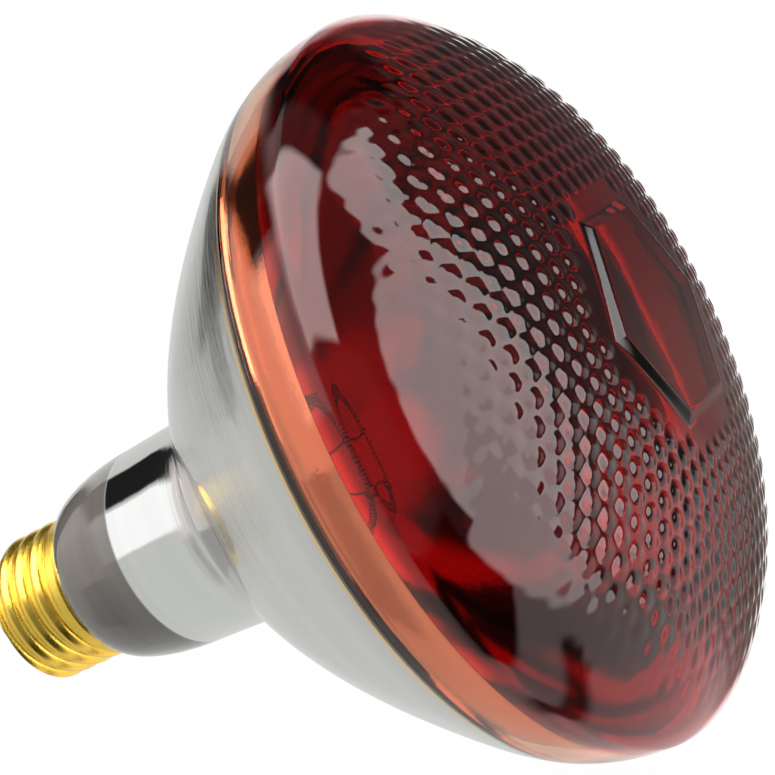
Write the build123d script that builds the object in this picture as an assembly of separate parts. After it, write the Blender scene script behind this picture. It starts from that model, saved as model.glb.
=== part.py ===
"""Red infrared heat lamp bulb, built as separate pieces in one frame.

Millimetres. The lamp axis is +Z. z = 0 is the flat of the solder tip on the
end contact, and the lens faces up. The lamp is pulled together from a screw
cap, a mirrored glass reflector, a red glass lens and the mount inside them.
"""

import math
import os

from build123d import *

# ---- whole lamp
LENS_RADIUS = 60.75
LENS_TOP = 136.5
SEAM_Z = 100.3

# ---- screw cap (E27 screw thread)
CREST_RADIUS = 13.05
COLLAR_RADIUS = 13.15
ROOT_RADIUS = 12.15
THREAD_PITCH = 3.629
SHELL_BORE = 11.75
SHELL_BOTTOM = 6.8
LIP_RADIUS = 10.9
LIP_BORE = 10.4
THREAD_START = 8.0
COLLAR_START = 21.1
SHELL_TOP = 23.0
RIDGE_BASE = 2.9
RIDGE_ROOT_DEPTH = 0.15
SHELL_GAUGE = 0.6
SHELL_CHAMFER = 0.3
LIP_SLOPE = 0.25

# ---- end contact and its insulator
TIP_FLAT_RADIUS = 1.6
TIP_RADIUS = 3.2
CONTACT_BOTTOM = 0.8
CONTACT_TOP = 1.5
CONTACT_RADIUS = 4.9
CONTACT_HOLE = 0.7
INSULATOR_LOW_RADIUS = 5.6
INSULATOR_SHOULDER_Z = 6.4
INSULATOR_TOP = 9.4
INSULATOR_WALL = 1.6
INSULATOR_FLOOR = 2.2
INSULATOR_EDGE = 0.5
CONTACT_CHAMFER = 0.3
TIP_EDGE = 0.6
TIP_EDGE_Z = 0.3

# ---- glass reflector, from the tail in the cap to the seam
GLASS_WALL = 2.2
TAIL_RADIUS = 10.8
TAIL_BOTTOM = 12.6
TAIL_TOP = 20.6
SHOULDER_RADIUS = 13.7
SHOULDER_Z = 23.9
SHOULDER_POWER = 1.8
SHOULDER_LEVEL = 0.1
NECK_RADIUS = 17.95
NECK_START = 40.0
WAIST_RADIUS = 18.4
WAIST_Z = 50.0
WAIST_BLEND = 2.4
MIRROR_FOCAL_LENGTH = 18.4
MIRROR_VERTEX_Z = 53.0
MIRROR_RADIUS = 55.4
RIM_Z = 113.2
RIM_TANGENT = 1 / 2.6
COATING = 0.16
MIRROR_BOTTOM_Z = 39.8
MIRROR_TOP_Z = 108.5

# ---- front lens
DOME_POWER_Z = 1.52
DOME_POWER_R = 2.36
DOME_TOP = 136.0
PAD_LOW_RADIUS = 20.3
PAD_LOW_Z = 134.0
PAD_HIGH_RADIUS = 16.6
PAD_HIGH_Z = 136.9
PAD_CORNER_ANGLE = -85.0
PAD_SPHERE_RADIUS = 210.0

# ---- glass stem
STEM_TUBE_RADIUS = 6.6
STEM_TUBE_BORE = 5.5
STEM_FLARE_Z = 11.4
STEM_FLARE_EDGE = 2.4
STEM_FLARE_RISE = 3.0
STEM_FLARE_BEND = 0.5
STEM_TUBE_START = 20.0
PRESS_BOTTOM = 43.0
PRESS_TOP = 52.0
PRESS_WIDTH = 14.0
PRESS_DEPTH = 4.6
PRESS_SIDE_FILLET = 1.6
PRESS_TOP_FILLET = 1.2
PRESS_ROOT = 1.5
PRESS_TAPER = 2.0
PRESS_SHRINK = 0.8
PRESS_OVERLAP = 1.0
EXHAUST_RADIUS = 2.2
EXHAUST_BORE = 1.4
EXHAUST_BOTTOM = 10.0
EXHAUST_TIP_RADIUS = 0.9
EXHAUST_TAPER = 3.0

# ---- wires and filament
LEAD_OFFSET = 4.2
INNER_LEAD_RADIUS = 0.5
SEAL_WIRE_RADIUS = 0.3
OUTER_LEAD_RADIUS = 0.25
SOLDER_RADIUS = 0.5
SOLDER_RISE = 0.2
WIRE_BEND = 1.5
CENTRE_LEAD_BEND_Z = 5.2
SIDE_LEAD_BEND = 0.4
SIDE_LEAD_CLEARANCE = 1.4
CEMENT_INSET = 0.4
LEAD_STRAIGHT = 3.4
KNEE_RISE = 7.0
KNEE_OUT = 0.55
KNEE_SIDE = 0.4
SEAL_TOP = 50.0
SEAL_BOTTOM = 46.0
SIDE_LEAD_RADIUS = 11.42
ARBOR_RADIUS = 1.5
ARBOR_TOP = 63.5
BUTTON_RADIUS = 2.7
BUTTON_HEIGHT = 3.4
BUTTON_Z = 64.8
FILAMENT_Z = 72.0
FILAMENT_RING = 12.5
FILAMENT_RADIUS = 0.8
FILAMENT_START_ANGLE = 5.0
FILAMENT_END_ANGLE = 305.0
SUPPORT_ANGLES = (55.0, 105.0, 155.0, 205.0, 255.0)
SUPPORT_RADIUS = 0.25
SUPPORT_GRIP = 1.0
SUPPORT_SLOPE = 0.4
SUPPORT_FOOT = 0.9
SUPPORT_DROP = 2.4
SUPPORT_BEND = 1.0
HOOK_RADIUS = 1.2
HOOK_SWEEP = 300.0
CLAMP_RADIUS = 1.15
CLAMP_LENGTH = 3.0
CLAMP_OVERHANG = 0.3
DEFLECTOR_Z = 56.5
DEFLECTOR_RADIUS = 15.4
DEFLECTOR_THICKNESS = 0.4
DEFLECTOR_LIP = 1.4
SLEEVE_RADIUS = 1.1
DEFLECTOR_DISH = 1.0
DEFLECTOR_EDGE = 0.35
DEFLECTOR_HOLE_GAP = 0.4
SLEEVE_HEIGHT = 3.0

# ---- outline sampling and clearance for cuts
OUTLINE_STEP = 1.1
FINE_STEPS = 400
CURVE_STEPS = 60
OVERRUN = 5.0


def polar(radius, degrees, z):
    angle = math.radians(degrees)
    return (radius * math.cos(angle), radius * math.sin(angle), z)


def resample(points, step):
    """Points at even spacing along a fine polyline, ends kept."""
    lengths = [0.0]
    for a, b in zip(points[:-1], points[1:]):
        lengths.append(lengths[-1] + math.dist(a, b))
    count = max(2, round(lengths[-1] / step))
    even = []
    index = 0
    for i in range(count + 1):
        target = lengths[-1] * i / count
        while index < len(points) - 2 and lengths[index + 1] < target:
            index += 1
        span = lengths[index + 1] - lengths[index]
        t = (target - lengths[index]) / span
        a = points[index]
        b = points[index + 1]
        even.append((a[0] + (b[0] - a[0]) * t, a[1] + (b[1] - a[1]) * t))
    return even


def inset(points, distance):
    """The outline moved towards the inside of the bulb by a wall's thickness."""
    moved = []
    for i, (r, z) in enumerate(points):
        before = points[max(0, i - 1)]
        after = points[min(len(points) - 1, i + 1)]
        dr = after[0] - before[0]
        dz = after[1] - before[1]
        length = math.hypot(dr, dz)
        moved.append((r - dz / length * distance, z + dr / length * distance))
    return moved


def smooth_max(a, b, blend):
    return 0.5 * (a + b + math.sqrt((a - b) ** 2 + blend ** 2))


def bezier(corners):
    """Points along a cubic curve, after its first corner."""
    points = []
    for i in range(1, CURVE_STEPS + 1):
        t = i / CURVE_STEPS
        s = 1 - t
        weights = (s ** 3, 3 * s * s * t, 3 * s * t * t, t ** 3)
        r = sum(w * p[0] for w, p in zip(weights, corners))
        z = sum(w * p[1] for w, p in zip(weights, corners))
        points.append((r, z))
    return points


def shoulder_outline():
    """From the straight tail out over the cap's edge and up to the neck."""
    points = [(TAIL_RADIUS, TAIL_BOTTOM), (TAIL_RADIUS, TAIL_TOP)]
    points += bezier([
        (TAIL_RADIUS, TAIL_TOP),
        (TAIL_RADIUS, SHOULDER_Z),
        (TAIL_RADIUS + SHOULDER_LEVEL, SHOULDER_Z),
        (SHOULDER_RADIUS, SHOULDER_Z),
    ])
    for i in range(1, CURVE_STEPS + 1):
        a = math.pi / 2 * i / CURVE_STEPS
        r = SHOULDER_RADIUS + (NECK_RADIUS - SHOULDER_RADIUS) * math.sin(a) ** (2 / SHOULDER_POWER)
        z = SHOULDER_Z + (NECK_START - SHOULDER_Z) * (1 - math.cos(a) ** (2 / SHOULDER_POWER))
        points.append((r, z))
    return points


def bowl_outline():
    """Neck and paraboloid, blended where they meet at the waist."""
    points = []
    top = MIRROR_VERTEX_Z + MIRROR_RADIUS ** 2 / (4 * MIRROR_FOCAL_LENGTH)
    blend_offset = smooth_max(NECK_RADIUS, 0.0, WAIST_BLEND) - NECK_RADIUS
    for i in range(1, FINE_STEPS + 1):
        z = NECK_START + (top - NECK_START) * i / FINE_STEPS
        grown = min(1.0, (z - NECK_START) / (WAIST_Z - NECK_START))
        neck = NECK_RADIUS + (WAIST_RADIUS - NECK_RADIUS) * grown
        depth = max(0.0, z - MIRROR_VERTEX_Z)
        bowl = math.sqrt(4 * MIRROR_FOCAL_LENGTH * depth)
        points.append((smooth_max(neck, bowl, WAIST_BLEND) - blend_offset, z))
    return points


def rim_outline(start):
    """From the paraboloid out to the lens's widest circle."""
    slope = start[0] / (2 * MIRROR_FOCAL_LENGTH)
    length = math.dist(start, (LENS_RADIUS, RIM_Z)) * RIM_TANGENT
    along = length / math.hypot(1, slope)
    first = (start[0] + along, start[1] + along * slope)
    second = (LENS_RADIUS, RIM_Z - length)
    return bezier([start, first, second, (LENS_RADIUS, RIM_Z)])


def dome_outline():
    """From the widest circle over the lens's face to the axis."""
    points = []
    for i in range(1, FINE_STEPS + 1):
        a = math.pi / 2 * i / FINE_STEPS
        r = LENS_RADIUS * max(0.0, math.cos(a)) ** (2 / DOME_POWER_R)
        z = RIM_Z + (DOME_TOP - RIM_Z) * math.sin(a) ** (2 / DOME_POWER_Z)
        points.append((r, z))
    points[-1] = (0.0, DOME_TOP)
    return points


def turned(points):
    """A solid of revolution from a closed polygon of (radius, z)."""
    outline = Polyline(*[(r, 0, z) for r, z in points], close=True)
    return revolve(make_face(outline), Axis.Z)


def turned_smooth(points):
    """A solid of revolution from a smooth outline closed along the axis."""
    curve = Spline(*[(r, 0, z) for r, z in points])
    corners = [(0, 0, points[0][1]), (0, 0, points[-1][1])]
    edges = [curve, Line(corners[0], curve @ 0)]
    if points[-1][0] > 0.001:
        edges.append(Line(curve @ 1, corners[1]))
    edges.append(Line(corners[1], corners[0]))
    return revolve(make_face(Wire(edges)), Axis.Z)


def disc(radius, bottom, top):
    blank = Cylinder(radius, top - bottom, align=(Align.CENTER, Align.CENTER, Align.MIN))
    return Pos(0, 0, bottom) * blank


def tube(outer, inner, bottom, top):
    return disc(outer, bottom, top) - disc(inner, bottom - OVERRUN, top + OVERRUN)


def wire(points, radius, bend=None):
    """Round wire along a polyline, with its corners bent to a radius."""
    if bend and len(points) > 2:
        path = FilletPolyline(*points, radius=bend)
    else:
        path = Polyline(*points)
    section = Plane(origin=path @ 0, z_dir=path % 0) * Circle(radius)
    return sweep(section, path=path)


def inner_form(points, wall):
    """The bulb's form moved inwards by a wall, closed on the axis under the dome."""
    moved = inset(points, wall)
    moved[-1] = (0.0, DOME_TOP - wall)
    return turned_smooth(moved)


# ---- one outline from the tail to the lens's top, shared by glass, mirror and lens
envelope = shoulder_outline() + bowl_outline()
envelope = envelope + rim_outline(envelope[-1])
envelope = resample(envelope + dome_outline(), OUTLINE_STEP)
cavity_form = inner_form(envelope, GLASS_WALL)
tail_opening = disc(TAIL_RADIUS - GLASS_WALL, TAIL_BOTTOM - OVERRUN, TAIL_BOTTOM + OVERRUN)
glass_skin = turned_smooth(envelope) - cavity_form - tail_opening


def layer(bottom, top):
    """A disc wider than the lamp, to take one level out of a form."""
    return disc(LENS_RADIUS + OVERRUN, bottom, top)


def build_reflector_bowl():
    return glass_skin & layer(TAIL_BOTTOM, SEAM_Z)


def build_mirror_coating():
    """Lines the neck and bowl, and the lens's skirt just above the seam."""
    lining = cavity_form - inner_form(envelope, GLASS_WALL + COATING)
    return lining & layer(MIRROR_BOTTOM_Z, MIRROR_TOP_Z)


def build_front_lens():
    """Domed glass from the seam up, with a raised six-sided pad at its centre."""
    glass = glass_skin & layer(SEAM_Z, LENS_TOP + OVERRUN)
    low = RegularPolygon(PAD_LOW_RADIUS, 6, rotation=PAD_CORNER_ANGLE)
    high = RegularPolygon(PAD_HIGH_RADIUS, 6, rotation=PAD_CORNER_ANGLE)
    low_face = (Plane.XY.offset(PAD_LOW_Z) * low).face()
    high_face = (Plane.XY.offset(PAD_HIGH_Z) * high).face()
    crown = Pos(0, 0, LENS_TOP - PAD_SPHERE_RADIUS) * Sphere(PAD_SPHERE_RADIUS)
    pad = loft([low_face, high_face]) & crown
    return glass + pad


def build_threaded_barrel():
    """Plain barrel with the rounded ridge of the rolled thread wound round it."""
    start = THREAD_START - THREAD_PITCH
    height = COLLAR_START - THREAD_START + 1.5 * THREAD_PITCH
    helix = Helix(pitch=THREAD_PITCH, height=height, radius=ROOT_RADIUS, center=(0, 0, start))
    half = RIDGE_BASE / 2
    base = ROOT_RADIUS - RIDGE_ROOT_DEPTH
    arc = ThreePointArc((base, 0, start - half), (CREST_RADIUS, 0, start), (base, 0, start + half))
    section = make_face(Wire([arc, Line(arc @ 1, arc @ 0)]))
    ridge = sweep(section, path=helix, is_frenet=True)
    spare = 2 * THREAD_PITCH
    barrel = tube(ROOT_RADIUS, SHELL_BORE, THREAD_START - spare, COLLAR_START + spare)
    return (barrel + ridge) & disc(CREST_RADIUS + OVERRUN, THREAD_START, COLLAR_START)


def build_screw_shell():
    """Rolled brass shell: turned-in lip, knuckle thread and plain collar."""
    lip = turned([
        (LIP_BORE, SHELL_BOTTOM),
        (LIP_RADIUS, SHELL_BOTTOM),
        (ROOT_RADIUS - LIP_SLOPE, SHELL_BOTTOM + SHELL_GAUGE),
        (ROOT_RADIUS, THREAD_START),
        (SHELL_BORE, THREAD_START),
        (SHELL_BORE, SHELL_BOTTOM + SHELL_GAUGE),
        (LIP_BORE, SHELL_BOTTOM + SHELL_GAUGE),
    ])
    collar = turned([
        (SHELL_BORE, COLLAR_START),
        (COLLAR_RADIUS, COLLAR_START),
        (COLLAR_RADIUS, SHELL_TOP - SHELL_CHAMFER),
        (COLLAR_RADIUS - SHELL_CHAMFER, SHELL_TOP),
        (SHELL_BORE, SHELL_TOP),
    ])
    return build_threaded_barrel() + lip + collar


def build_cap_insulator():
    """Black glass cup between the shell and the end contact."""
    low = INSULATOR_LOW_RADIUS
    seat = SHELL_BOTTOM + SHELL_GAUGE
    floor = CONTACT_TOP + INSULATOR_FLOOR
    shoulder_bore = LIP_BORE - INSULATOR_WALL - INSULATOR_EDGE
    return turned([
        (CONTACT_HOLE, CONTACT_TOP),
        (low - INSULATOR_EDGE, CONTACT_TOP),
        (low, CONTACT_TOP + INSULATOR_EDGE),
        (LIP_BORE - 2 * INSULATOR_EDGE, INSULATOR_SHOULDER_Z - INSULATOR_EDGE),
        (LIP_BORE, INSULATOR_SHOULDER_Z + INSULATOR_EDGE),
        (LIP_BORE, seat),
        (SHELL_BORE, seat),
        (SHELL_BORE, INSULATOR_TOP),
        (SHELL_BORE - INSULATOR_WALL, INSULATOR_TOP),
        (shoulder_bore, INSULATOR_SHOULDER_Z + 2 * INSULATOR_EDGE),
        (low - INSULATOR_WALL, floor),
        (CONTACT_HOLE, floor),
    ])


def build_tip_solder(lead):
    """Solder button with a flat face, filled round the end of the centre lead."""
    body = turned([
        (0, 0),
        (TIP_FLAT_RADIUS, 0),
        (TIP_RADIUS - TIP_EDGE, TIP_EDGE_Z),
        (TIP_RADIUS, CONTACT_BOTTOM),
        (0, CONTACT_BOTTOM),
    ])
    return body - lead


def build_centre_contact():
    """Brass disc under the insulator, with a hole for the centre lead."""
    return turned([
        (CONTACT_HOLE, CONTACT_BOTTOM),
        (CONTACT_RADIUS - CONTACT_CHAMFER, CONTACT_BOTTOM),
        (CONTACT_RADIUS, CONTACT_BOTTOM + CONTACT_CHAMFER),
        (CONTACT_RADIUS, CONTACT_TOP),
        (CONTACT_HOLE, CONTACT_TOP),
    ])


def build_stem_flare():
    """Flare sealed to the tail, straight tube, and the flattened press."""
    flare_top = TAIL_BOTTOM + STEM_FLARE_RISE
    closing = PRESS_BOTTOM - PRESS_TAPER
    flare = turned([
        (TAIL_RADIUS - STEM_FLARE_EDGE, STEM_FLARE_Z),
        (TAIL_RADIUS, STEM_FLARE_Z),
        (TAIL_RADIUS, TAIL_BOTTOM),
        (TAIL_RADIUS - GLASS_WALL, TAIL_BOTTOM),
        (STEM_TUBE_RADIUS + STEM_FLARE_BEND, flare_top),
        (STEM_TUBE_RADIUS, STEM_TUBE_START),
        (STEM_TUBE_RADIUS, closing),
        (STEM_TUBE_RADIUS - PRESS_SHRINK, PRESS_BOTTOM),
        (0, PRESS_BOTTOM),
        (0, PRESS_BOTTOM - PRESS_ROOT),
        (STEM_TUBE_BORE - PRESS_SHRINK, PRESS_BOTTOM - PRESS_ROOT),
        (STEM_TUBE_BORE, closing),
        (STEM_TUBE_BORE, STEM_TUBE_START),
        (STEM_TUBE_BORE + STEM_FLARE_BEND, flare_top),
    ])
    height = PRESS_TOP - PRESS_BOTTOM + PRESS_OVERLAP
    press = Pos(0, 0, PRESS_TOP - height / 2) * Box(PRESS_DEPTH, PRESS_WIDTH, height)
    press = fillet(press.edges().filter_by(Axis.Z), PRESS_SIDE_FILLET)
    press = fillet(press.edges().group_by(Axis.Z)[-1], PRESS_TOP_FILLET)
    return flare + press


def build_exhaust_tube():
    """Pumping tube hanging inside the stem, drawn off to a closed tip."""
    top = PRESS_BOTTOM - PRESS_ROOT
    wall = EXHAUST_RADIUS - EXHAUST_BORE
    return turned([
        (0, EXHAUST_BOTTOM),
        (EXHAUST_TIP_RADIUS, EXHAUST_BOTTOM + TIP_EDGE_Z),
        (EXHAUST_RADIUS, EXHAUST_BOTTOM + EXHAUST_TAPER),
        (EXHAUST_RADIUS, top),
        (EXHAUST_BORE, top),
        (EXHAUST_BORE, EXHAUST_BOTTOM + EXHAUST_TAPER + wall / 2),
        (0, EXHAUST_BOTTOM + 2 * wall),
    ])


def build_outer_lead_centre():
    return wire([
        (0, -LEAD_OFFSET, SEAL_BOTTOM),
        (0, -LEAD_OFFSET, EXHAUST_BOTTOM),
        (0, 0, CENTRE_LEAD_BEND_Z),
        (0, 0, TIP_EDGE_Z),
    ], OUTER_LEAD_RADIUS, WIRE_BEND)


def build_outer_lead_side():
    """Runs down inside the stem, under the flare and up beside the tail."""
    under = STEM_FLARE_Z - SIDE_LEAD_CLEARANCE
    over = SHELL_TOP + OUTER_LEAD_RADIUS
    outside = COLLAR_RADIUS + OUTER_LEAD_RADIUS
    return wire([
        (0, LEAD_OFFSET, SEAL_BOTTOM),
        (0, LEAD_OFFSET, under + 1.0),
        (0, LEAD_OFFSET + 3.0, under),
        (0, SIDE_LEAD_RADIUS, under),
        (0, SIDE_LEAD_RADIUS, over),
        (0, outside, over),
        (0, outside, SHELL_TOP - SHELL_CHAMFER),
    ], OUTER_LEAD_RADIUS, SIDE_LEAD_BEND)


def build_side_solder(lead):
    """Solder bead over the lead's end, on the collar's upper edge."""
    centre = Pos(0, COLLAR_RADIUS + OUTER_LEAD_RADIUS, SHELL_TOP + SOLDER_RISE)
    bead = centre * Sphere(SOLDER_RADIUS) - disc(COLLAR_RADIUS, SHELL_BOTTOM, SHELL_TOP + OVERRUN)
    return bead - lead


def build_basing_cement(lead, bowl):
    """Ring that holds the tail in the shell."""
    ring = tube(SHELL_BORE, TAIL_RADIUS, TAIL_BOTTOM + CEMENT_INSET, TAIL_TOP)
    return ring - lead - bowl


def build_inner_lead(sign, angle):
    """Up from the press, through the deflector, then out to the filament's end."""
    end = polar(FILAMENT_RING, angle, FILAMENT_Z - CLAMP_RADIUS)
    side = sign * LEAD_OFFSET
    knee_x = KNEE_OUT * end[0]
    knee_y = KNEE_SIDE * side + (1 - KNEE_SIDE) * end[1]
    return wire([
        (0, side, SEAL_TOP),
        (0, side, DEFLECTOR_Z + LEAD_STRAIGHT),
        (knee_x, knee_y, DEFLECTOR_Z + KNEE_RISE),
        end,
    ], INNER_LEAD_RADIUS, WIRE_BEND)


def build_seal_wires():
    """Short foils of wire inside the press, one for each lead."""
    blank = disc(SEAL_WIRE_RADIUS, SEAL_BOTTOM, SEAL_TOP)
    return [Pos(0, side, 0) * blank for side in (-LEAD_OFFSET, LEAD_OFFSET)]


def build_arbor_rod():
    """Glass rod on the press, with the melted button that grips the supports."""
    rod = disc(ARBOR_RADIUS, PRESS_TOP, ARBOR_TOP)
    size = (BUTTON_RADIUS, BUTTON_RADIUS, BUTTON_HEIGHT / 2)
    return rod + Pos(0, 0, BUTTON_Z) * scale(Sphere(1), by=size)


def build_support(angle):
    """One wire out of the button, with an open hook round the filament."""
    inner = FILAMENT_RING - HOOK_RADIUS
    arm = wire([
        polar(BUTTON_RADIUS - SUPPORT_GRIP, angle, BUTTON_Z),
        polar(BUTTON_RADIUS + WIRE_BEND, angle, BUTTON_Z + SUPPORT_SLOPE),
        polar(inner - SUPPORT_FOOT, angle, FILAMENT_Z - SUPPORT_DROP),
        polar(inner, angle, FILAMENT_Z),
    ], SUPPORT_RADIUS, SUPPORT_BEND)
    centre = polar(FILAMENT_RING, angle, FILAMENT_Z)
    plane = Plane(origin=centre, x_dir=polar(1, angle, 0), z_dir=polar(1, angle + 90, 0))
    arc = plane * CenterArc((0, 0), HOOK_RADIUS, 180, -HOOK_SWEEP)
    section = Plane(origin=arc @ 0, z_dir=arc % 0) * Circle(SUPPORT_RADIUS)
    return arm + sweep(section, path=arc)


def filament_path(start, end):
    ring = Plane(origin=(0, 0, FILAMENT_Z))
    return ring * CenterArc((0, 0), FILAMENT_RING, start, end - start)


def build_filament():
    """Coil outline: the tube that the coiled tungsten wire fills."""
    path = filament_path(FILAMENT_START_ANGLE, FILAMENT_END_ANGLE)
    section = Plane(origin=path @ 0, z_dir=path % 0) * Circle(FILAMENT_RADIUS)
    return sweep(section, path=path)


def build_clamp(angle, turn):
    """Crimped sleeve that joins a lead to the filament's end."""
    reach = math.degrees(CLAMP_LENGTH / FILAMENT_RING)
    back = reach * CLAMP_OVERHANG
    path = filament_path(angle - turn * back, angle + turn * (reach - back))
    section = Plane(origin=path @ 0, z_dir=path % 0) * Circle(CLAMP_RADIUS)
    return sweep(section, path=path)


def build_heat_deflector(cutters):
    """Dished metal disc across the neck that keeps heat off the cap."""
    hole = ARBOR_RADIUS + DEFLECTOR_HOLE_GAP
    under = DEFLECTOR_Z - DEFLECTOR_THICKNESS
    edge_bottom = DEFLECTOR_Z - DEFLECTOR_LIP
    plate = turned([
        (hole, DEFLECTOR_Z),
        (DEFLECTOR_RADIUS - DEFLECTOR_DISH, DEFLECTOR_Z),
        (DEFLECTOR_RADIUS, edge_bottom),
        (DEFLECTOR_RADIUS - DEFLECTOR_EDGE, edge_bottom),
        (DEFLECTOR_RADIUS - DEFLECTOR_DISH - DEFLECTOR_EDGE, under),
        (hole, under),
    ])
    for cutter in cutters:
        plate = plate - cutter
    return plate


def build_sleeves(bore):
    """Ceramic sleeves that carry the leads through the deflector."""
    low = DEFLECTOR_Z - (DEFLECTOR_THICKNESS + SLEEVE_HEIGHT) / 2
    sleeve = disc(SLEEVE_RADIUS, low, low + SLEEVE_HEIGHT)
    if bore:
        sleeve = tube(SLEEVE_RADIUS, bore, low, low + SLEEVE_HEIGHT)
    return [Pos(0, side, 0) * sleeve for side in (-LEAD_OFFSET, LEAD_OFFSET)]


# ---- build every piece
reflector_bowl = build_reflector_bowl()
screw_shell = build_screw_shell()
outer_lead_centre = build_outer_lead_centre()
outer_lead_side = build_outer_lead_side()
seal_wires = build_seal_wires()
inner_lead_left = build_inner_lead(-1, FILAMENT_END_ANGLE)
inner_lead_right = build_inner_lead(1, FILAMENT_START_ANGLE)
filament = build_filament()
arbor_rod = build_arbor_rod()
sleeves = build_sleeves(INNER_LEAD_RADIUS)

stem_flare = build_stem_flare()
for cutter in [outer_lead_centre, outer_lead_side, inner_lead_left, inner_lead_right, *seal_wires]:
    stem_flare = stem_flare - cutter

clamps = []
for angle, turn, lead in (
    (FILAMENT_START_ANGLE, 1, inner_lead_right),
    (FILAMENT_END_ANGLE, -1, inner_lead_left),
):
    clamps.append(build_clamp(angle, turn) - filament - lead)

supports = []
for angle in SUPPORT_ANGLES:
    support = build_support(angle)
    supports.append(support)
    arbor_rod = arbor_rod - support

pieces = {
    "tip_solder": build_tip_solder(outer_lead_centre),
    "centre_contact": build_centre_contact(),
    "cap_insulator": build_cap_insulator(),
    "screw_shell": screw_shell,
    "side_solder": build_side_solder(outer_lead_side),
    "basing_cement": build_basing_cement(outer_lead_side, reflector_bowl),
    "reflector_bowl": reflector_bowl,
    "mirror_coating": build_mirror_coating(),
    "front_lens": build_front_lens(),
    "stem_flare": stem_flare,
    "exhaust_tube": build_exhaust_tube(),
    "arbor_rod": arbor_rod,
    "filament_supports": Compound(children=supports),
    "filament": filament,
    "filament_clamps": Compound(children=clamps),
    "inner_lead_left": inner_lead_left,
    "inner_lead_right": inner_lead_right,
    "seal_wires": Compound(children=seal_wires),
    "outer_lead_centre": outer_lead_centre,
    "outer_lead_side": outer_lead_side,
    "heat_deflector": build_heat_deflector(build_sleeves(None)),
    "deflector_sleeves": Compound(children=sleeves),
}

os.makedirs("parts", exist_ok=True)
for name, shape in pieces.items():
    export_step(shape, f"parts/{name}.step")
    box = shape.bounding_box()
    print(name, len(shape.solids()), round(shape.volume, 1), round(box.min.Z, 2), round(box.max.Z, 2))
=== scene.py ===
"""Looks and studio for the red infrared heat lamp bulb, in the CAD frame (metres).

The lens is rebuilt with its six-sided pad and moulded dimples, the filament as a
coiled wire. Everything else is the CAD node itself with a procedural material.
"""

import math

import bmesh
import bpy
from mathutils import Matrix, Vector, noise


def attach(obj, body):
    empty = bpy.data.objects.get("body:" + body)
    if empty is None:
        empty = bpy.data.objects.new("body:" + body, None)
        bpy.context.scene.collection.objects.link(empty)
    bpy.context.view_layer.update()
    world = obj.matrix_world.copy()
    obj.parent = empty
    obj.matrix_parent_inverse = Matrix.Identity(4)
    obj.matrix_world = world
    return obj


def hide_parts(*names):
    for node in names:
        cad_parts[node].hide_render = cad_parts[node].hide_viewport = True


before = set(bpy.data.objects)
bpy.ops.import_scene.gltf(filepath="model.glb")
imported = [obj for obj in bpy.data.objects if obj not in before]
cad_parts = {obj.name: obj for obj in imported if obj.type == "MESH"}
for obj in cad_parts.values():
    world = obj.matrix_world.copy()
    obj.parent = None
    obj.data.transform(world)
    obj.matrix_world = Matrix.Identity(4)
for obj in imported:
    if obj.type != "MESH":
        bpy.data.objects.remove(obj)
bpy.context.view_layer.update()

MM = 0.001

# ---- heights where the glass changes its looks, mm (a band that runs down turns the step over)
COATING_BAND = (39.6, 40.2)
SATIN_BAND = (50.0, 60.0)
SEAM_BAND = (99.2, 100.3)
SKIRT_BAND = (111.5, 108.5)

# ---- lens outline, mm
LENS_RADIUS = 60.74
RIM_Z = 113.2
DOME_TOP = 136.0
DOME_POWER_Z = 1.52
DOME_POWER_R = 2.36
SKIRT_START = (55.36, 94.7)
SKIRT_SLOPE = 1.505
SKIRT_TANGENT = 1 / 2.6
SEAM_Z = 100.34
LENS_WALL = 2.0
HUB_RADIUS = 0.5

# ---- pad and dimples, mm
PAD_CORNER = math.radians(-85)
PAD_TOP_RADIUS = 17.2
PAD_BASE_RADIUS = 19.5
PAD_TOP_Z = 136.48
PAD_SPHERE = 420.0
BEVEL_EASE = 0.25
BEVEL_CLIP = 0.104
PITCH = 3.75
DIMPLE_RADIUS = 1.95
DIMPLE_HEIGHT = 0.33
DIMPLE_POWER = 1.8
UNEVEN_SHARE = 0.25
UNEVEN_SCALE = 0.35
UNEVEN_LAYER = 3.7
FIELD_START = 21.3
FIELD_FADE = 41.0
FIELD_END = 58.5
FAR_SOFTNESS = 0.45
FAR_FROM = -12
FAR_TO = 22

# ---- fineness of the lens
FACE_STEPS = 1500
SKIRT_STEPS = 300
SEGMENTS = 640
INNER_SHARE = 4
PAD_SHARES = (0.12, 0.25, 0.4, 0.55, 0.7, 0.82, 0.92, 0.98)
BEVEL_SHARES = (0.0, 0.12, 0.3, 0.5, 0.7, 0.88, 1.0)
RING_STEP = 0.45
ROUND_FROM = 23.6
RIM_RINGS = 34
INNER_RINGS = 46

# ---- sky: an angle past every direction, for a panel with no edge on that side
NO_EDGE = 999


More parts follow.
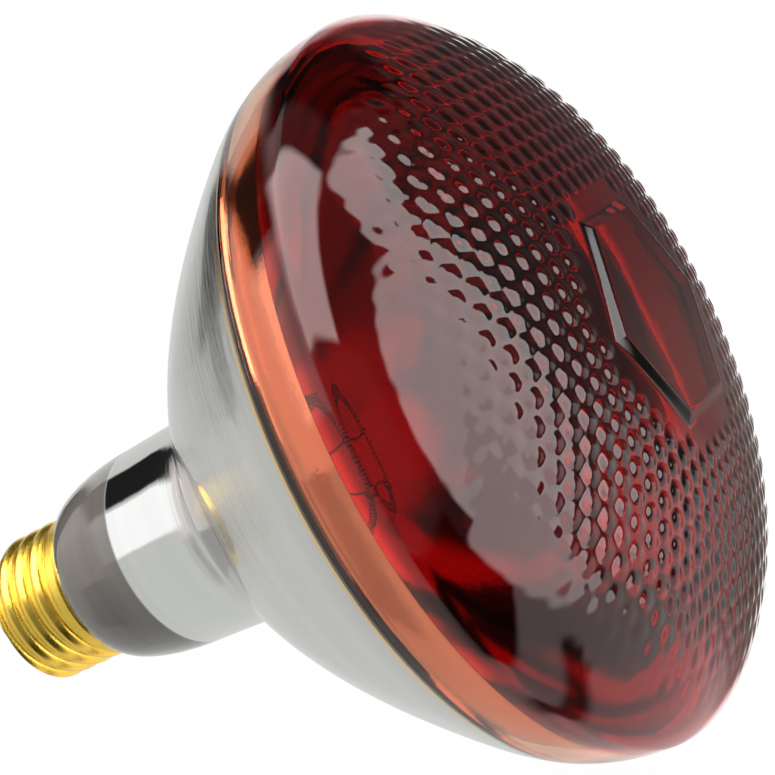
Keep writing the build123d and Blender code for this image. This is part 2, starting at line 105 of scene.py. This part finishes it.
class Graph:
    """Adds and links shader nodes in one tree."""

    def __init__(self, tree):
        self.tree = tree

    def node(self, kind, **settings):
        made = self.tree.nodes.new(kind)
        for name, value in settings.items():
            setattr(made, name, value)
        return made

    def feed(self, socket, value):
        if isinstance(value, bpy.types.NodeSocket):
            self.tree.links.new(value, socket)
        else:
            socket.default_value = value

    def math(self, operation, a, b=0.0, clamp=False):
        made = self.node("ShaderNodeMath", operation=operation, use_clamp=clamp)
        self.feed(made.inputs[0], a)
        self.feed(made.inputs[1], b)
        return made.outputs[0]

    def step(self, value, low, high):
        """0 below low, 1 above high, smooth between."""
        made = self.node("ShaderNodeMapRange", interpolation_type="SMOOTHSTEP")
        self.feed(made.inputs["Value"], value)
        made.inputs["From Min"].default_value = low
        made.inputs["From Max"].default_value = high
        return made.outputs["Result"]

    def span(self, value, low, high, soft):
        """1 between low and high, 0 outside, with soft edges."""
        rise = self.step(value, low - soft, low + soft)
        fall = self.step(value, high - soft, high + soft)
        return self.math("SUBTRACT", rise, fall, clamp=True)

    def level(self, place, band):
        """0 below a band of heights on the lamp, 1 above it."""
        parts = self.node("ShaderNodeSeparateXYZ")
        self.feed(parts.inputs[0], place)
        return self.step(parts.outputs["Z"], band[0] * MM, band[1] * MM)

    def mix(self, share, a, b):
        """Blend of two colours; sockets 6, 7 and 2 are the mix node's colour ones."""
        made = self.node("ShaderNodeMix", data_type="RGBA")
        self.feed(made.inputs["Factor"], share)
        self.feed(made.inputs[6], a)
        self.feed(made.inputs[7], b)
        return made.outputs[2]

    def range(self, value, low, high):
        """A 0-1 value spread over low to high."""
        made = self.node("ShaderNodeMapRange")
        self.feed(made.inputs["Value"], value)
        made.inputs["To Min"].default_value = low
        made.inputs["To Max"].default_value = high
        return made.outputs["Result"]

    def noise(self, vector, scale, detail=3.0, rough=0.5):
        made = self.node("ShaderNodeTexNoise")
        self.feed(made.inputs["Vector"], vector)
        made.inputs["Scale"].default_value = scale
        made.inputs["Detail"].default_value = detail
        made.inputs["Roughness"].default_value = rough
        return made.outputs["Fac"]

    def stretched(self, vector, x, y, z):
        made = self.node("ShaderNodeMapping", vector_type="POINT")
        self.feed(made.inputs["Vector"], vector)
        made.inputs["Scale"].default_value = (x, y, z)
        return made.outputs["Vector"]

    def bump(self, height, strength, distance):
        made = self.node("ShaderNodeBump")
        self.feed(made.inputs["Height"], height)
        made.inputs["Strength"].default_value = strength
        made.inputs["Distance"].default_value = distance
        return made.outputs["Normal"]


def start_material(name):
    material = bpy.data.materials.new(name)
    material.use_nodes = True
    graph = Graph(material.node_tree)
    shader = material.node_tree.nodes["Principled BSDF"]
    place = graph.node("ShaderNodeTexCoord").outputs["Object"]
    return material, graph, shader, place


def cloudy(name, look, fineness, relief):
    """Cloudy colour, uneven polish and a fine surface; relief is the bump's depth in metres."""
    low, high, rough_low, rough_high, grain, bump = look
    material, graph, shader, place = start_material(name)
    cloud = graph.noise(place, grain, detail=4.0, rough=0.6)
    fine = graph.noise(place, grain * fineness, detail=3.0, rough=0.7)
    graph.feed(shader.inputs["Base Color"], graph.mix(cloud, (*low, 1), (*high, 1)))
    graph.feed(shader.inputs["Roughness"], graph.range(fine, rough_low, rough_high))
    graph.feed(shader.inputs["Normal"], graph.bump(fine, bump, relief))
    return material, shader


def metal(name, look):
    material, shader = cloudy(name, look, fineness=9, relief=0.0001)
    shader.inputs["Metallic"].default_value = 1.0
    return material


def solid(name, look):
    material, _ = cloudy(name, look, fineness=6, relief=0.0002)
    return material


def brass():
    """Rolled brass with cloudy colour and a few dull stains."""
    material, graph, shader, place = start_material("cap_brass_looks")
    cloud = graph.noise(place, 240, detail=4.0, rough=0.6)
    stain = graph.step(graph.noise(place, 420, detail=5.0, rough=0.7), 0.56, 0.7)
    fine = graph.noise(graph.stretched(place, 1, 1, 3), 1500, detail=3.0, rough=0.7)
    colour = graph.mix(cloud, (0.96, 0.63, 0.075, 1), (1.0, 0.74, 0.14, 1))
    colour = graph.mix(graph.math("MULTIPLY", stain, 0.3), colour, (0.45, 0.30, 0.07, 1))
    graph.feed(shader.inputs["Base Color"], colour)
    graph.feed(shader.inputs["Roughness"], graph.range(cloud, 0.2, 0.36))
    graph.feed(shader.inputs["Normal"], graph.bump(fine, 0.12, 0.0002))
    shader.inputs["Metallic"].default_value = 1.0
    return material


def silvered_glass():
    """Mirror seen through the reflector's glass.

    The shoulder by the cap is bare glass, the neck is clear and the bowl satin, and a
    painted warm glow runs along the seam, standing in for light carried through the glass edge
    there.
    """
    material, graph, shader, place = start_material("reflector_looks")
    rings = graph.noise(graph.stretched(place, 6, 6, 1600), 1.0, detail=6.0, rough=0.65)
    broad = graph.noise(graph.stretched(place, 10, 10, 420), 1.0, detail=3.0, rough=0.5)
    coated = graph.level(place, COATING_BAND)
    satin = graph.level(place, SATIN_BAND)
    seam = graph.level(place, SEAM_BAND)
    silver = graph.mix(broad, (0.66, 0.67, 0.66, 1), (0.80, 0.80, 0.79, 1))
    # painted light: the orange mixed in above the seam band is a painted glow on the silver
    # mirror, standing in for light carried through the glass edge
    silver_with_painted_seam_glow = graph.mix(seam, silver, (0.93, 0.58, 0.16, 1))
    bare = graph.mix(broad, (0.095, 0.09, 0.085, 1), (0.15, 0.14, 0.125, 1))
    graph.feed(shader.inputs["Base Color"], graph.mix(coated, bare, silver_with_painted_seam_glow))
    graph.feed(shader.inputs["Metallic"], coated)
    rough = graph.math("MULTIPLY", satin, graph.range(rings, 0.02, 0.2))
    graph.feed(shader.inputs["Roughness"], graph.math("ADD", rough, 0.05))
    height = graph.math("MULTIPLY", rings, graph.range(satin, 0.03, 1.0))
    graph.feed(shader.inputs["Normal"], graph.bump(height, 0.5, 0.0002))
    shader.inputs["Coat Weight"].default_value = 1.0
    shader.inputs["Coat Roughness"].default_value = 0.02
    return material


def red_glass():
    """Ruby glass, lighter towards the seam, with faint ripples."""
    material, graph, shader, place = start_material("red_glass_looks")
    skirt = graph.level(place, SKIRT_BAND)
    cloud = graph.noise(place, 45, detail=3.0, rough=0.5)
    deep = graph.mix(cloud, (0.24, 0.006, 0.007, 1), (0.31, 0.010, 0.011, 1))
    colour = graph.mix(skirt, deep, (1.0, 0.50, 0.33, 1))
    graph.feed(shader.inputs["Base Color"], colour)
    ripple = graph.noise(place, 90, detail=2.0, rough=0.5)
    graph.feed(shader.inputs["Normal"], graph.bump(ripple, 0.1, 0.0006))
    smear = graph.noise(place, 260, detail=4.0, rough=0.6)
    graph.feed(shader.inputs["Roughness"], graph.range(smear, 0.0, 0.05))
    shader.inputs["Transmission Weight"].default_value = 1.0
    shader.inputs["IOR"].default_value = 1.52
    return material


def clear_glass():
    """Stem glass with a faint green tint."""
    material, graph, shader, place = start_material("clear_glass_looks")
    cloud = graph.noise(place, 300, detail=3.0, rough=0.6)
    colour = graph.mix(cloud, (0.90, 0.95, 0.94, 1), (0.97, 0.99, 0.98, 1))
    graph.feed(shader.inputs["Base Color"], colour)
    graph.feed(shader.inputs["Roughness"], graph.range(cloud, 0.0, 0.06))
    graph.feed(shader.inputs["Normal"], graph.bump(cloud, 0.1, 0.0003))
    shader.inputs["Transmission Weight"].default_value = 1.0
    shader.inputs["IOR"].default_value = 1.5
    return material


# each: colour from and to, roughness from and to, grain, strength of the fine surface
METALS = {
    "solder": ((0.52, 0.52, 0.53), (0.72, 0.72, 0.72), 0.28, 0.52, 500, 0.5),
    "mirror_film": ((0.80, 0.79, 0.78), (0.93, 0.92, 0.91), 0.03, 0.12, 90, 0.25),
    "tungsten": ((0.30, 0.30, 0.31), (0.48, 0.47, 0.46), 0.3, 0.5, 800, 0.4),
    "molybdenum": ((0.40, 0.40, 0.42), (0.55, 0.55, 0.56), 0.25, 0.45, 800, 0.3),
    "nickel": ((0.60, 0.57, 0.53), (0.74, 0.71, 0.66), 0.16, 0.34, 500, 0.3),
    "copper_clad": ((0.72, 0.34, 0.18), (0.90, 0.50, 0.30), 0.2, 0.42, 700, 0.4),
    "deflector": ((0.45, 0.45, 0.46), (0.63, 0.63, 0.64), 0.2, 0.4, 300, 0.4),
}
SOLIDS = {
    "black_glass": ((0.006, 0.006, 0.007), (0.02, 0.018, 0.018), 0.05, 0.22, 300, 0.15),
    "cement": ((0.42, 0.38, 0.32), (0.58, 0.54, 0.47), 0.8, 0.98, 600, 0.9),
    "ceramic": ((0.72, 0.70, 0.66), (0.84, 0.82, 0.79), 0.45, 0.7, 500, 0.4),
}
MATERIALS = {
    "cap_brass": brass(),
    "clear_glass": clear_glass(),
    "mirror_glass": silvered_glass(),
    "red_glass": red_glass(),
}
for finish, look in METALS.items():
    MATERIALS[finish] = metal(f"{finish}_looks", look)
for finish, look in SOLIDS.items():
    MATERIALS[finish] = solid(f"{finish}_looks", look)


# ---- lens
def dome_point(angle):
    """(radius, z) on the lens's face, from 0 at the rim to pi/2 on the axis."""
    r = LENS_RADIUS * max(0.0, math.cos(angle)) ** (2 / DOME_POWER_R)
    z = RIM_Z + (DOME_TOP - RIM_Z) * math.sin(angle) ** (2 / DOME_POWER_Z)
    return r, z


def skirt_points(count):
    """Curve from the rim down the side to the reflector's outline."""
    length = math.dist(SKIRT_START, (LENS_RADIUS, RIM_Z)) * SKIRT_TANGENT
    along = length / math.hypot(1, SKIRT_SLOPE)
    corners = [
        (LENS_RADIUS, RIM_Z),
        (LENS_RADIUS, RIM_Z - length),
        (SKIRT_START[0] + along, SKIRT_START[1] + along * SKIRT_SLOPE),
        SKIRT_START,
    ]
    points = []
    for i in range(count + 1):
        t = i / count
        s = 1 - t
        weights = (s ** 3, 3 * s * s * t, 3 * s * t * t, t ** 3)
        r = sum(w * p[0] for w, p in zip(weights, corners))
        z = sum(w * p[1] for w, p in zip(weights, corners))
        points.append((r, z))
    return points


def lens_outline():
    """Fine polyline from the axis over the rim and down to the seam."""
    points = [dome_point(math.pi / 2 * (1 - i / FACE_STEPS)) for i in range(FACE_STEPS + 1)]
    points[0] = (0.0, DOME_TOP)
    for r, z in skirt_points(SKIRT_STEPS)[1:]:
        if z < SEAM_Z:
            break
        points.append((r, z))
    return points


OUTLINE = lens_outline()
OUTLINE_LENGTH = [0.0]
for before, after in zip(OUTLINE[:-1], OUTLINE[1:]):
    OUTLINE_LENGTH.append(OUTLINE_LENGTH[-1] + math.dist(before, after))


def outline_at(length):
    """Point and outward normal of the outline at a distance along it from the axis."""
    low = 0
    high = len(OUTLINE) - 1
    while high - low > 1:
        middle = (low + high) // 2
        if OUTLINE_LENGTH[middle] <= length:
            low = middle
        else:
            high = middle
    a = OUTLINE[low]
    b = OUTLINE[high]
    span = OUTLINE_LENGTH[high] - OUTLINE_LENGTH[low]
    t = (length - OUTLINE_LENGTH[low]) / span
    point = (a[0] + (b[0] - a[0]) * t, a[1] + (b[1] - a[1]) * t)
    normal = ((a[1] - b[1]) / span, (b[0] - a[0]) / span)
    return point, normal


def length_at_radius(radius):
    """Distance along the outline to a radius on the face."""
    low = 0
    high = FACE_STEPS
    while high - low > 1:
        middle = (low + high) // 2
        if OUTLINE[middle][0] <= radius:
            low = middle
        else:
            high = middle
    span = OUTLINE[high][0] - OUTLINE[low][0]
    t = (radius - OUTLINE[low][0]) / span
    return OUTLINE_LENGTH[low] + (OUTLINE_LENGTH[high] - OUTLINE_LENGTH[low]) * t


def smooth(value, low, high):
    """0 below low, 1 above high, smooth between."""
    t = min(1.0, max(0.0, (value - low) / (high - low)))
    return t * t * (3 - 2 * t)


def hexagon(angle):
    """Radius of a hexagon of unit circumradius in a direction."""
    turn = (angle - PAD_CORNER) % math.radians(60) - math.radians(30)
    return math.cos(math.radians(30)) / math.cos(turn)


def lattice_step(angle):
    return Vector((math.cos(angle), math.sin(angle))) * PITCH


LATTICE_A = lattice_step(PAD_CORNER)
LATTICE_B = lattice_step(PAD_CORNER + math.pi / 3)
LATTICE_AREA = LATTICE_A.x * LATTICE_B.y - LATTICE_A.y * LATTICE_B.x


def dimple(x, y):
    """Height of the moulded dimples at a place on the face."""
    i = (x * LATTICE_B.y - y * LATTICE_B.x) / LATTICE_AREA
    j = (LATTICE_A.x * y - LATTICE_A.y * x) / LATTICE_AREA
    best = PITCH
    for ci in (math.floor(i), math.floor(i) + 1):
        for cj in (math.floor(j), math.floor(j) + 1):
            centre = LATTICE_A * ci + LATTICE_B * cj
            distance = math.hypot(x - centre.x, y - centre.y)
            if distance < best:
                best = distance
                nearest = centre
    if best > DIMPLE_RADIUS or nearest.length < FIELD_START:
        return 0.0
    fade = 1 - smooth(nearest.length, FIELD_FADE, FIELD_END)
    fade *= 1 - FAR_SOFTNESS * smooth(nearest.y, FAR_FROM, FAR_TO)
    spot = Vector((nearest.x, nearest.y, UNEVEN_LAYER)) * UNEVEN_SCALE
    uneven = 1 + UNEVEN_SHARE * noise.noise(spot)
    return DIMPLE_HEIGHT * fade * uneven * (1 - (best / DIMPLE_RADIUS) ** 2) ** DIMPLE_POWER


def crown(radius):
    """Height of the pad's slightly domed top."""
    return PAD_TOP_Z - PAD_SPHERE + math.sqrt(PAD_SPHERE ** 2 - radius ** 2)


def pad_ring(share):
    """Place on the pad: share 0-1 is the top, 1-2 the bevel down to the dome."""
    points = []
    for k in range(SEGMENTS):
        angle = 2 * math.pi * k / SEGMENTS
        if share <= 1:
            r = PAD_TOP_RADIUS * share * hexagon(angle)
            z = crown(r)
        else:
            t = share - 1
            r = (PAD_TOP_RADIUS + (PAD_BASE_RADIUS - PAD_TOP_RADIUS) * t) * hexagon(angle)
            (_, foot), _ = outline_at(length_at_radius(r))
            eased = smooth(t, -BEVEL_EASE, 1 + BEVEL_EASE)
            drop = min(1.0, max(0.0, (eased - BEVEL_CLIP) / (1 - 2 * BEVEL_CLIP)))
            z = crown(r) + (foot - crown(r)) * drop
        points.append((r * math.cos(angle), r * math.sin(angle), z))
    return points


def face_ring(radius, roundness):
    """Place on the dimpled face; roundness 0 follows the pad, 1 is a circle."""
    points = []
    for k in range(SEGMENTS):
        angle = 2 * math.pi * k / SEGMENTS
        r = radius * (roundness + (1 - roundness) * hexagon(angle))
        (_, z), normal = outline_at(length_at_radius(r))
        height = dimple(r * math.cos(angle), r * math.sin(angle))
        out = r + normal[0] * height
        points.append((out * math.cos(angle), out * math.sin(angle), z + normal[1] * height))
    return points


def round_ring(point, count):
    r, z = point
    turn = 2 * math.pi / count
    return [(r * math.cos(turn * k), r * math.sin(turn * k), z) for k in range(count)]


def outer_rings():
    """The outside of the glass, from the pad over the dimples and the rim to the seam."""
    rings = [pad_ring(share) for share in PAD_SHARES]
    rings += [pad_ring(1 + share) for share in BEVEL_SHARES]
    count = round((ROUND_FROM - PAD_BASE_RADIUS) / RING_STEP)
    for i in range(1, count + 1):
        share = i / count
        rings.append(face_ring(PAD_BASE_RADIUS + (ROUND_FROM - PAD_BASE_RADIUS) * share, share))
    count = round((FIELD_END - ROUND_FROM) / RING_STEP)
    for i in range(1, count + 1):
        rings.append(face_ring(ROUND_FROM + (FIELD_END - ROUND_FROM) * i / count, 1.0))
    start = length_at_radius(FIELD_END)
    for i in range(1, RIM_RINGS + 1):
        point, _ = outline_at(start + (OUTLINE_LENGTH[-1] - start) * i / RIM_RINGS)
        rings.append(round_ring(point, SEGMENTS))
    return rings


def inner_rings(count):
    """The inside of the glass, from the seam up to the axis."""
    rings = []
    for i in range(INNER_RINGS):
        (r, z), normal = outline_at(OUTLINE_LENGTH[-1] * (1 - i / INNER_RINGS))
        r -= normal[0] * LENS_WALL
        z -= normal[1] * LENS_WALL
        if r > HUB_RADIUS:
            rings.append(round_ring((r, z), count))
    return rings


def bridge(mesh, first, second):
    """A band of quads between two rings of equal count."""
    for k in range(len(first)):
        n = (k + 1) % len(first)
        mesh.faces.new((first[k], second[k], second[n], first[n]))


def build_lens():
    """Closed shell of glass: outside rings, the edge at the seam, inside rings."""
    mesh = bmesh.new()
    centre = mesh.verts.new((0, 0, PAD_TOP_Z))
    rings = [[mesh.verts.new(p) for p in ring] for ring in outer_rings()]
    for k in range(SEGMENTS):
        mesh.faces.new((centre, rings[0][k], rings[0][(k + 1) % SEGMENTS]))
    for first, second in zip(rings[:-1], rings[1:]):
        bridge(mesh, first, second)
    inner_count = SEGMENTS // INNER_SHARE
    inner = [[mesh.verts.new(p) for p in ring] for ring in inner_rings(inner_count)]
    edge = rings[-1]
    for k in range(inner_count):
        n = (k + 1) % inner_count
        fan = [edge[(k * INNER_SHARE + j) % SEGMENTS] for j in range(INNER_SHARE + 1)]
        for a, b in zip(fan[:-1], fan[1:]):
            mesh.faces.new((a, inner[0][k], b))
        mesh.faces.new((fan[-1], inner[0][k], inner[0][n]))
    for first, second in zip(inner[:-1], inner[1:]):
        bridge(mesh, first, second)
    top = mesh.verts.new((0, 0, DOME_TOP - LENS_WALL))
    for k in range(inner_count):
        mesh.faces.new((inner[-1][k], top, inner[-1][(k + 1) % inner_count]))
    bmesh.ops.recalc_face_normals(mesh, faces=mesh.faces)
    bmesh.ops.scale(mesh, vec=(MM, MM, MM), verts=mesh.verts)
    for face in mesh.faces:
        face.smooth = True
    return finish_mesh(mesh, "lens_glass")


def finish_mesh(mesh, name):
    data = bpy.data.meshes.new(name)
    mesh.to_mesh(data)
    mesh.free()
    piece = bpy.data.objects.new(name, data)
    bpy.context.scene.collection.objects.link(piece)
    return piece


# ---- filament
def build_coil():
    """Coiled tungsten wire along the ring that the supports hold, mm."""
    ring = 12.5
    height = 72.0
    coil_radius = 0.66
    wire_radius = 0.13
    turns = 78
    per_turn = 14
    start = math.radians(6)
    sweep = math.radians(298)
    curve = bpy.data.curves.new("filament_coil", "CURVE")
    curve.dimensions = "3D"
    curve.bevel_depth = wire_radius * MM
    curve.bevel_resolution = 2
    curve.use_fill_caps = True
    spline = curve.splines.new("POLY")
    count = turns * per_turn
    spline.points.add(count)
    for i in range(count + 1):
        along = start + sweep * i / count
        turn = 2 * math.pi * i / per_turn
        r = ring + coil_radius * math.cos(turn)
        z = height + coil_radius * math.sin(turn)
        spline.points[i].co = (r * math.cos(along) * MM, r * math.sin(along) * MM, z * MM, 1)
    piece = bpy.data.objects.new("filament_coil", curve)
    bpy.context.scene.collection.objects.link(piece)
    return piece


lens = build_lens()
lens.data.materials.append(MATERIALS["red_glass"])
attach(lens, "root")
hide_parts("front_lens")

coil = build_coil()
coil.data.materials.append(MATERIALS["tungsten"])
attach(coil, "root")
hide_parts("filament")

NODE_MATERIALS = {
    "tip_solder": "solder",
    "centre_contact": "cap_brass",
    "cap_insulator": "black_glass",
    "screw_shell": "cap_brass",
    "side_solder": "solder",
    "basing_cement": "cement",
    "reflector_bowl": "mirror_glass",
    "mirror_coating": "mirror_film",
    "stem_flare": "clear_glass",
    "exhaust_tube": "clear_glass",
    "arbor_rod": "clear_glass",
    "filament_supports": "molybdenum",
    "filament_clamps": "nickel",
    "inner_lead_left": "nickel",
    "inner_lead_right": "nickel",
    "seal_wires": "copper_clad",
    "outer_lead_centre": "copper_clad",
    "outer_lead_side": "copper_clad",
    "heat_deflector": "deflector",
    "deflector_sleeves": "ceramic",
}
for node, finish in NODE_MATERIALS.items():
    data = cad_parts[node].data
    data.materials.clear()
    data.materials.append(MATERIALS[finish])


# ---- studio light
def build_sky():
    """Soft boxes and dark flags, painted on the sky one over the other."""
    world = bpy.data.worlds.new("studio_sky")
    bpy.context.scene.world = world
    world.use_nodes = True
    graph = Graph(world.node_tree)
    parts = graph.node("ShaderNodeSeparateXYZ")
    graph.feed(parts.inputs[0], graph.node("ShaderNodeTexCoord").outputs["Generated"])
    x, y, z = parts.outputs
    degrees = 180 / math.pi
    around = graph.math("MULTIPLY", graph.math("ARCTAN2", x, y), degrees)
    rise = graph.math("MULTIPLY", graph.math("ARCSINE", z), degrees)
    # each: azimuth from and to, elevation from and to, edge softness in degrees, colour
    panels = [
        (-NO_EDGE, NO_EDGE, -8, 99, 3, (0.14, 0.13, 0.13)),
        (-NO_EDGE, NO_EDGE, -99, -45, 3, (0.62, 0.62, 0.60)),
        (-NO_EDGE, -85, -64, -44, 4, (0.85, 0.78, 0.76)),
        (110, NO_EDGE, -64, -47, 4, (0.42, 0.42, 0.42)),
        (-35, 30, -25, -8, 4, (1.6, 1.57, 1.55)),
        (0, 30, -8, 30, 5, (0.35, 0.30, 0.28)),
        (30, 110, -30, 25, 5, (1.1, 0.95, 0.95)),
        (12, 112, 22, 52, 4, (1.1, 1.07, 1.05)),
        (80, 90, -30, 40, 3, (0.10, 0.09, 0.09)),
        (110, 150, -30, 50, 2, (0.02, 0.02, 0.02)),
        (150, NO_EDGE, -30, 50, 4, (0.2, 0.2, 0.2)),
        (-NO_EDGE, -150, -30, 50, 3, (0.2, 0.2, 0.2)),
        (-75, -45, -30, 30, 3, (0.02, 0.02, 0.02)),
        (-108, -66, -46, -30, 2, (0.015, 0.015, 0.015)),
        (-72, -34, -61, -42, 2, (0.02, 0.02, 0.02)),
        (-65, -40, -75, -50, 2, (0.02, 0.02, 0.02)),
        (-166, -112, -46, -30, 2, (1.25, 1.25, 1.25)),
        (-148, -92, -30, 33, 2, (5.0, 4.7, 4.6)),
        (-NO_EDGE, NO_EDGE, 60.5, 99, 1.5, (4.0, 3.95, 3.9)),
        (60, 134, 50, 99, 2, (3.2, 3.15, 3.1)),
        (-93, -64, 36, 99, 1.5, (4.0, 3.95, 3.9)),
    ]
    colour = (0.68, 0.69, 0.67, 1)
    for left, right, low, high, soft, tint in panels:
        mask = graph.span(rise, low, high, soft)
        if (left, right) != (-NO_EDGE, NO_EDGE):
            mask = graph.math("MULTIPLY", mask, graph.span(around, left, right, soft))
        colour = graph.mix(mask, colour, (*tint, 1))
    background = world.node_tree.nodes["Background"]
    graph.feed(background.inputs["Color"], colour)
    background.inputs["Strength"].default_value = 1.0


def build_floor():
    """Plain white ground that only the camera sees, metres."""
    mesh = bmesh.new()
    half = 9.0
    level = -0.4
    corners = [(-half, -half), (half, -half), (half, half), (-half, half)]
    mesh.faces.new([mesh.verts.new((x, y, level)) for x, y in corners])
    floor = finish_mesh(mesh, "floor")
    material, graph, shader, place = start_material("floor_looks")
    tone = graph.mix(graph.noise(place, 3.0), (0.99, 0.99, 0.99, 1), (1, 1, 1, 1))
    graph.feed(shader.inputs["Emission Color"], tone)
    shader.inputs["Emission Strength"].default_value = 1.0
    shader.inputs["Base Color"].default_value = (0, 0, 0, 1)
    shader.inputs["Specular IOR Level"].default_value = 0.0
    floor.data.materials.append(material)
    floor.visible_glossy = False
    floor.visible_transmission = False
    floor.visible_diffuse = False
    floor.visible_shadow = False


def place_camera():
    """Camera above and in front of the lamp, rolled so that the cap points down left."""
    look_at = Vector((0, 0, 85 * MM))
    distance = 324.03 * MM
    tilt = math.radians(28.47)
    roll = math.radians(63.87)
    offset = 0.0258
    forward = Vector((0, math.cos(tilt), -math.sin(tilt)))
    level = Vector((1, 0, 0))
    upright = Vector((0, math.sin(tilt), math.cos(tilt)))
    right = level * math.cos(roll) + upright * math.sin(roll)
    up = upright * math.cos(roll) - level * math.sin(roll)
    position = look_at - forward * distance
    centre = (forward + up * offset).normalized()
    right = (right - centre * right.dot(centre)).normalized()
    up = right.cross(centre)
    data = bpy.data.cameras.new("camera")
    data.lens = 94.0
    data.sensor_width = 36.0
    data.clip_start = 0.01
    data.clip_end = 50
    camera = bpy.data.objects.new("camera", data)
    bpy.context.scene.collection.objects.link(camera)
    axes = Matrix((right, up, -centre)).transposed()
    camera.matrix_world = Matrix.Translation(position) @ axes.to_4x4()
    bpy.context.scene.camera = camera


build_sky()
build_floor()
place_camera()
bpy.context.scene.view_settings.view_transform = "Standard"
